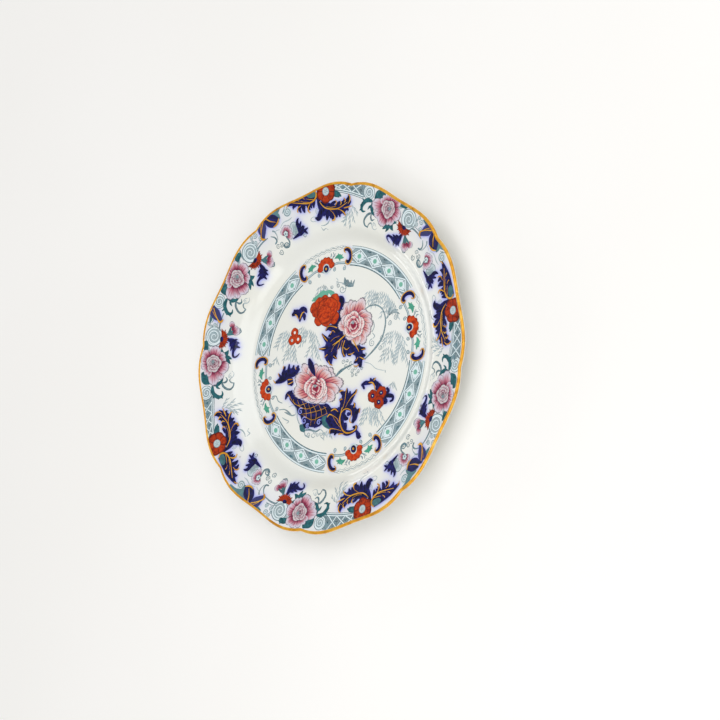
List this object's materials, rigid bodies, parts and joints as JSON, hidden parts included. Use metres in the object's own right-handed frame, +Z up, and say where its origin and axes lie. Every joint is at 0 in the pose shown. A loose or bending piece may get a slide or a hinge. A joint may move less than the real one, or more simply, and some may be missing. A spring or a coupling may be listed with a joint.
{
  "type": "dinner plate",
  "caption": "Round china dinner plate with a scalloped gilded edge, shallow well, sloping rim and foot ring, with flower, leaf and lattice decoration.",
  "frame": {"origin": "centre of the foot ring's resting plane", "axes": "+Z up out of the dish, +X towards one of the nicks in the edge"},
  "size_m": [0.2526, 0.2526, 0.0214],
  "materials": {
    "clay": "fired white ware, bare on the foot ring",
    "glaze": "clear gloss glaze over white ware",
    "gold": "burnished gilding",
    "cobalt": "dark cobalt under gloss glaze",
    "teal_print": "grey-teal print under gloss glaze",
    "rose": "shaded rose enamel",
    "iron_red": "iron-red enamel"
  },
  "bodies": {
    "root": {"clay_body": "clay", "face_glaze": "glaze", "back_glaze": "glaze", "gilt_edge": "gold", "centre_leaves": "cobalt", "centre_basket": "cobalt", "centre_acanthus": "cobalt", "centre_berries": "iron_red", "centre_sprigs": "iron_red", "centre_butterfly": "cobalt", "centre_red_peony": "iron_red", "centre_peony_1": "rose", "centre_peony_2": "rose", "ring_lattice_1": "teal_print", "ring_lattice_2": "teal_print", "ring_lattice_3": "teal_print", "ring_lattice_4": "teal_print", "ring_cartouche_1": "cobalt", "ring_cartouche_2": "cobalt", "ring_cartouche_3": "cobalt", "ring_cartouche_4": "cobalt", "rim_flower_1": "iron_red", "rim_flower_2": "iron_red", "rim_flower_3": "iron_red", "rim_flower_4": "iron_red", "rim_acanthus_1": "cobalt", "rim_acanthus_2": "cobalt", "rim_acanthus_3": "cobalt", "rim_acanthus_4": "cobalt", "rim_lattice_1": "teal_print", "rim_lattice_2": "teal_print", "rim_lattice_3": "teal_print", "rim_lattice_4": "teal_print", "rim_leaf_pair_1": "cobalt", "rim_leaf_pair_2": "cobalt", "rim_leaf_pair_3": "cobalt", "rim_leaf_pair_4": "cobalt", "rim_half_flower_1": "rose", "rim_half_flower_2": "rose", "rim_half_flower_3": "rose", "rim_half_flower_4": "rose", "rim_sprig_1": "cobalt", "rim_sprig_2": "cobalt", "rim_sprig_3": "cobalt", "rim_sprig_4": "cobalt", "rim_peony_1": "rose", "rim_peony_2": "rose", "rim_peony_3": "rose", "rim_peony_4": "rose", "rim_peony_5": "rose", "rim_scroll_1": "teal_print", "rim_scroll_2": "teal_print", "rim_scroll_3": "teal_print", "rim_scroll_4": "teal_print", "rim_scroll_5": "teal_print", "rim_daisy_1": "iron_red", "rim_daisy_2": "iron_red", "rim_daisy_3": "iron_red", "rim_daisy_4": "iron_red", "rim_daisy_5": "iron_red"}
  },
  "joints": []
}
